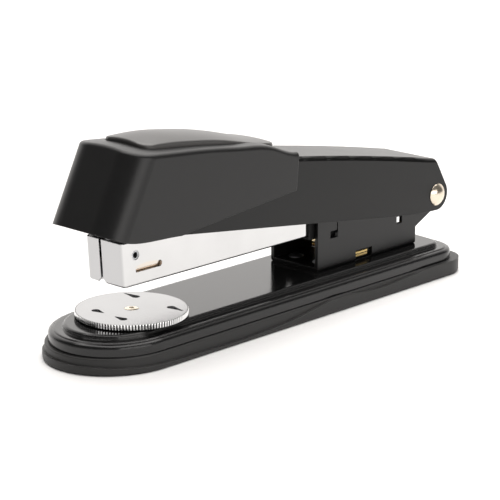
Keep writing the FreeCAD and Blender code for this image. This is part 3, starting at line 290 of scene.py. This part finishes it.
def turned_chrome():
    """Satin chrome with turned rings on the flat, a painted highlight on the knurled rim and
    painted shade in its grooves.
    """
    material, tree, shader = finish_of("turned chrome", metallic=1.0)
    place = object_place(tree)
    centred = add(tree, "ShaderNodeMapping", {"Vector": place, "Location": tuple(-anvil_middle)})
    rings = add(tree, "ShaderNodeTexWave",
                {"Vector": centred.outputs[0], "Scale": 900.0, "Distortion": 1.2, "Detail": 2.0},
                wave_type="RINGS", rings_direction="Z")
    cloud = noise(tree, place, 120.0, 3.0)
    edges = place_group(tree, edge_effect, Radius=0.00004, Strength=2.0)
    level = add(tree, "ShaderNodeVectorMath", {0: centred.outputs[0], 1: (1.0, 1.0, 0.0)},
                operation="MULTIPLY")
    radius = add(tree, "ShaderNodeVectorMath", {0: level.outputs["Vector"]},
                 operation="LENGTH").outputs["Value"]
    grooves = add(tree, "ShaderNodeMapRange",
                  {"Value": radius, "From Min": anvil_radius - knurl_tip,
                   "From Max": anvil_radius - knurl_root}, interpolation_type="SMOOTHSTEP")
    rim = add(tree, "ShaderNodeMapRange", {"Value": radius, "From Min": anvil_radius - flat_edge,
                                           "From Max": anvil_radius - rim_edge})
    # Painted shade: the knurl's grooves are coloured near black.
    painted_groove_shade = add(tree, "ShaderNodeMath", {0: grooves.outputs["Result"], 1: rim.outputs["Result"]},
               operation="MULTIPLY")
    chrome = blend_colours(tree, cloud, (0.44, 0.44, 0.445), (0.40, 0.40, 0.405))
    # Painted highlight: the knurled rim is coloured far lighter than the flat top.
    rim_highlight = blend_colours(tree, rim.outputs["Result"], chrome, (0.85, 0.85, 0.85))
    knurl_with_painted_light = blend_colours(tree, painted_groove_shade.outputs[0], rim_highlight, (0.015, 0.015, 0.016))
    tree.links.new(knurl_with_painted_light, shader.inputs["Base Color"])
    tree.links.new(between(tree, rings.outputs["Fac"], 0.16, 0.24), shader.inputs["Roughness"])
    raise_surface(tree, shader, rings.outputs["Fac"], edges, 0.12, 0.00001)
    return material


give(turned_chrome(), "anvil_disc")
warm_nickel = plated_steel("warm nickel", (0.80, 0.71, 0.58), smooth=0.16, rough=0.30,
                           streak=(1500, 1500, 1500), depth=0.00002)
give(warm_nickel, "anvil_rivet", "pivot_pin")


# Bracket and magazine carrier ---------------------------------------------------------------------
# Folded from steel sheet. The bracket is lacquered satin black and riveted to the plate. The
# carrier inside it is chemically blackened, so it is duller.

satin_black = stoved_enamel("satin black lacquer", tone=0.005, smooth=0.28, rough=0.36,
                            peel=1400.0, depth=0.00002, edge=0.0003, ior=1.42)
give(satin_black, "bracket")
black_oxide = stoved_enamel("black oxide", tone=0.003, smooth=0.5, rough=0.62, peel=2400.0,
                            depth=0.00002, edge=0.0003, ior=1.3)
give(black_oxide, "magazine_carrier")


# Return spring ------------------------------------------------------------------------------------
# A leaf of spring steel, zinc plated and passivated yellow. It is riveted to the bracket's floor,
# and its folded foot shows in the bracket's notches.

yellow_zinc = plated_steel("yellow zinc", (0.70, 0.52, 0.22), smooth=0.22, rough=0.38,
                           streak=(300, 3000, 3000), depth=0.00002)
give(yellow_zinc, "return_spring")


# Pivot washers ------------------------------------------------------------------------------------
# Natural nylon washers on the pivot pin, one between each ear of the handle and the bracket. They
# keep the lacquered sheets apart.

natural_nylon = moulded_plastic(
    "natural nylon", dark=(0.62, 0.60, 0.54), light=(0.70, 0.68, 0.62), rubbed=(0.75, 0.73, 0.68),
    smooth=0.40, rough=0.50, grain=3000.0, depth=0.00001, edge=0.00015)
give(natural_nylon, "pivot_washers")


# Magazine -----------------------------------------------------------------------------------------
# A channel folded from bright chromed steel strip, polished along its length. The flaps folded
# across its front carry painted shade, and a painted coppery reflection lies over the lance in
# its side.

lance_middle = Vector((-0.05155, 0.0, 0.0261))
copper_reflection_stretch = (220.0, 0.0, 1100.0)     # one over the painted reflection's half length and half height


def chromed_channel():
    """Bright chrome along the sides, painted shade on the flaps, and a painted reflection at the
    lance.
    """
    material = plated_steel("bright chrome", (0.67, 0.67, 0.67), smooth=0.05, rough=0.11,
                            streak=(160, 2400, 2400), depth=0.000006, edge=0.00025)
    tree = material.node_tree
    shader = tree.nodes["Principled BSDF"]
    plain = shader.inputs["Base Color"].links[0].from_socket
    facing = add(tree, "ShaderNodeSeparateXYZ",
                 {0: add(tree, "ShaderNodeTexCoord").outputs["Normal"]})
    # Painted shade: the faces turned to the front are coloured darker chrome, by their facing
    # alone.
    front_flap_shade = add(tree, "ShaderNodeMapRange",
                 {"Value": facing.outputs["X"], "From Min": -0.55, "From Max": -0.95})
    colour = blend_colours(tree, front_flap_shade.outputs["Result"], plain, (0.47, 0.47, 0.475))
    away = add(tree, "ShaderNodeVectorMath", {0: object_place(tree), 1: tuple(lance_middle)},
               operation="SUBTRACT")
    spread = add(tree, "ShaderNodeVectorMath", {0: away.outputs["Vector"], 1: copper_reflection_stretch},
                 operation="MULTIPLY")
    distance = add(tree, "ShaderNodeVectorMath", {0: spread.outputs["Vector"]},
                   operation="LENGTH")
    # Painted reflection: a coppery tint laid over the chrome round the lance, for the warm
    # reflection seen there.
    copper_reflection_mask = add(tree, "ShaderNodeMapRange",
               {"Value": distance.outputs["Value"], "From Min": 1.25, "From Max": 0.75},
               interpolation_type="SMOOTHSTEP")
    tinted = blend_colours(tree, copper_reflection_mask.outputs["Result"], colour, (0.66, 0.61, 0.55))
    tree.links.new(tinted, shader.inputs["Base Color"])
    return material


give(chromed_channel(), "magazine_channel")


# Rail, rod and front pin --------------------------------------------------------------------------
# Plain rolled and drawn steel inside the magazine: the rail under the staples, the pusher's rod and
# its retainer, the driver's holder, and the hollow pin across the front.

rolled_steel = plated_steel("rolled steel", (0.52, 0.53, 0.55), smooth=0.25, rough=0.42,
                            streak=(250, 2600, 2600), depth=0.00002)
give(rolled_steel, "staple_rail", "pusher_rod", "rod_retainer", "driver_holder",
     "magazine_front_pin")


# Staple strip -------------------------------------------------------------------------------------
# Fifty staples side by side, bent from flattened copper-washed wire and glued into one strip. The
# corners of each crown are round and the legs end in a chisel cut.

staple_count = 50
wire_thickness = 0.0005
crown_corner = 0.0006
chisel_cut = 0.0004
strip_low, strip_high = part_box("staple_strip")
staple_pitch = (strip_high.x - strip_low.x) / staple_count
wire_width = 0.95 * staple_pitch
crown_half = strip_high.y
crown_under = strip_high.z - wire_thickness
leg_inside = crown_half - wire_thickness
near_enough = 0.00001


def choose(chosen, kind, test):
    """Selects, in edit mode, the vertices, edges or faces that pass a test on their place."""
    bpy.ops.mesh.select_mode(type=kind)
    bpy.ops.mesh.select_all(action="DESELECT")
    mesh = bmesh.from_edit_mesh(chosen.data)
    for element in {"VERT": mesh.verts, "EDGE": mesh.edges, "FACE": mesh.faces}[kind]:
        corners = [element.co] if kind == "VERT" else [v.co for v in element.verts]
        if all(test(c) for c in corners):
            element.select_set(True)
    mesh.select_flush_mode()
    bmesh.update_edit_mesh(chosen.data)


bpy.ops.object.select_all(action="DESELECT")
bpy.ops.mesh.primitive_cube_add(
    size=1.0, location=(strip_low.x + staple_pitch / 2, 0.0, crown_under + wire_thickness / 2),
    scale=(wire_width, 2 * crown_half, wire_thickness))
stick = bpy.context.object
stick.name = "staple_stick"
bpy.ops.object.transform_apply(location=True, rotation=True, scale=True)

bpy.ops.object.mode_set(mode="EDIT")
for side in (-1, 1):
    bpy.ops.mesh.select_all(action="SELECT")
    bpy.ops.mesh.bisect(plane_co=(0.0, side * leg_inside, 0.0), plane_no=(0.0, 1.0, 0.0))
    choose(stick, "FACE", lambda c: side * c.y > leg_inside - near_enough
           and c.z < crown_under + near_enough)
    bpy.ops.mesh.extrude_region_move(
        TRANSFORM_OT_translate={"value": (0.0, 0.0, strip_low.z - crown_under)})
choose(stick, "VERT", lambda c: c.z < strip_low.z + near_enough
       and abs(c.y) < leg_inside + near_enough)
bpy.ops.transform.translate(value=(0.0, 0.0, chisel_cut))
choose(stick, "EDGE", lambda c: c.z > strip_high.z - near_enough
       and abs(c.y) > crown_half - near_enough)
bpy.ops.mesh.bevel(offset=crown_corner, segments=3, affect="EDGES")
bpy.ops.mesh.select_all(action="SELECT")
bpy.ops.mesh.remove_doubles(threshold=near_enough / 10)
bpy.ops.mesh.normals_make_consistent(inside=False)
bpy.ops.object.mode_set(mode="OBJECT")

row = stick.modifiers.new("row", "ARRAY")
row.count = staple_count
row.use_relative_offset = False
row.use_constant_offset = True
row.constant_offset_displace = (staple_pitch, 0.0, 0.0)
bpy.ops.object.modifier_apply(modifier="row")
bpy.ops.object.shade_smooth_by_angle(angle=math.radians(40))

staple_wire = plated_steel("staple wire", (0.78, 0.58, 0.42), smooth=0.18, rough=0.32,
                           streak=(2600, 260, 260), depth=0.00001, edge=0.00005)
give(staple_wire, "staple_strip")
stick.data.materials.append(staple_wire)
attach(stick, "magazine")
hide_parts("staple_strip")


# Pusher -------------------------------------------------------------------------------------------
# A black moulding that straddles the rail. It slides on the rod, and its spring pushes it and the
# staples forward.

pusher_plastic = moulded_plastic(
    "pusher plastic", dark=(0.02, 0.02, 0.021), light=(0.03, 0.03, 0.031), rubbed=(0.1, 0.1, 0.1),
    smooth=0.38, rough=0.5, grain=2600.0, depth=0.00002, edge=0.00025)
give(pusher_plastic, "pusher")


# Handle cover -------------------------------------------------------------------------------------
# The long inverted U of pressed steel sheet, lacquered satin black. It turns on the pivot pin at
# the back and carries the cap at the front.

handle_lacquer = stoved_enamel("handle lacquer", tone=0.002, smooth=0.27, rough=0.34,
                               peel=1400.0, depth=0.00002, edge=0.0003)
give(handle_lacquer, "handle_cover")


# Nose cap and pad ---------------------------------------------------------------------------------
# Satin black mouldings: the cap slips over the front of the cover, and the pad lies in its roof.

cap_plastic = moulded_plastic(
    "cap plastic", dark=(0.0045, 0.0045, 0.0047), light=(0.0065, 0.0065, 0.0067),
    rubbed=(0.05, 0.05, 0.05), smooth=0.33, rough=0.40, grain=5200.0, depth=0.000012, edge=0.0004)
give(cap_plastic, "nose_cap")
pad_plastic = moulded_plastic(
    "pad plastic", dark=(0.048, 0.047, 0.046), light=(0.060, 0.058, 0.056),
    rubbed=(0.07, 0.07, 0.07), smooth=0.33, rough=0.39, grain=5200.0, depth=0.000012, edge=0.0004,
    ior=1.6)
give(pad_plastic, "top_pad")


# Table and studio ---------------------------------------------------------------------------------
# A wide pale paper-covered table with a glowing backdrop behind it. A wide soft light hangs
# overhead, and a low panel stands on the near side to lift the dark walls.

table_width = 3.2

bpy.ops.object.select_all(action="DESELECT")
bpy.ops.mesh.primitive_plane_add(size=table_width, location=(0.0, 0.0, 0.0))
table = bpy.context.object
table.name = "table"
paper, paper_tree, paper_shader = finish_of("pale paper")
paper_fibre = noise(paper_tree, object_place(paper_tree), 900.0, 3.0)
paper_colour = blend_colours(paper_tree, paper_fibre, (0.86, 0.86, 0.86), (0.89, 0.89, 0.89))
paper_tree.links.new(paper_colour, paper_shader.inputs["Base Color"])
paper_shader.inputs["Roughness"].default_value = 0.75
table.data.materials.append(paper)

toward_backdrop = (0.70, 0.66, 0.26)
backdrop_colour = (1.0, 0.975, 0.95, 1.0)
lamp_colour = (1.0, 0.975, 0.955)

studio = bpy.data.worlds.new("studio")
bpy.context.scene.world = studio
studio.use_nodes = True
studio_tree = studio.node_tree
outward = add(studio_tree, "ShaderNodeTexCoord").outputs["Generated"]
nearness = add(studio_tree, "ShaderNodeVectorMath", {0: outward, 1: toward_backdrop},
               operation="DOT_PRODUCT")
glow = add(studio_tree, "ShaderNodeMapRange",
           {"Value": nearness.outputs["Value"], "From Min": 0.35, "From Max": 0.80,
            "To Min": 0.14, "To Max": 1.55}, interpolation_type="SMOOTHSTEP")
backdrop = studio_tree.nodes["Background"]
studio_tree.links.new(glow.outputs["Result"], backdrop.inputs["Strength"])
backdrop.inputs["Color"].default_value = backdrop_colour


def soft_light(name, width, depth, power, place, aim):
    """A rectangular panel of light at a place, turned to face its aim."""
    data = bpy.data.lights.new(name, "AREA")
    data.shape = "RECTANGLE"
    data.size = width
    data.size_y = depth
    data.energy = power
    data.color = lamp_colour
    lamp = bpy.data.objects.new(name, data)
    bpy.context.scene.collection.objects.link(lamp)
    lamp.location = place
    lamp.rotation_euler = (Vector(aim) - Vector(place)).to_track_quat("-Z", "Y").to_euler()


soft_light("overhead", width=1.4, depth=1.4, power=20.5, place=(0.1, 0.0, 1.1),
           aim=(0.0, 0.0, 0.0))
soft_light("near side", width=0.9, depth=0.34, power=3.0, place=(-0.14, -0.95, 0.25),
           aim=(-0.05, 0.0, 0.05))

bpy.context.scene.view_settings.view_transform = "Standard"
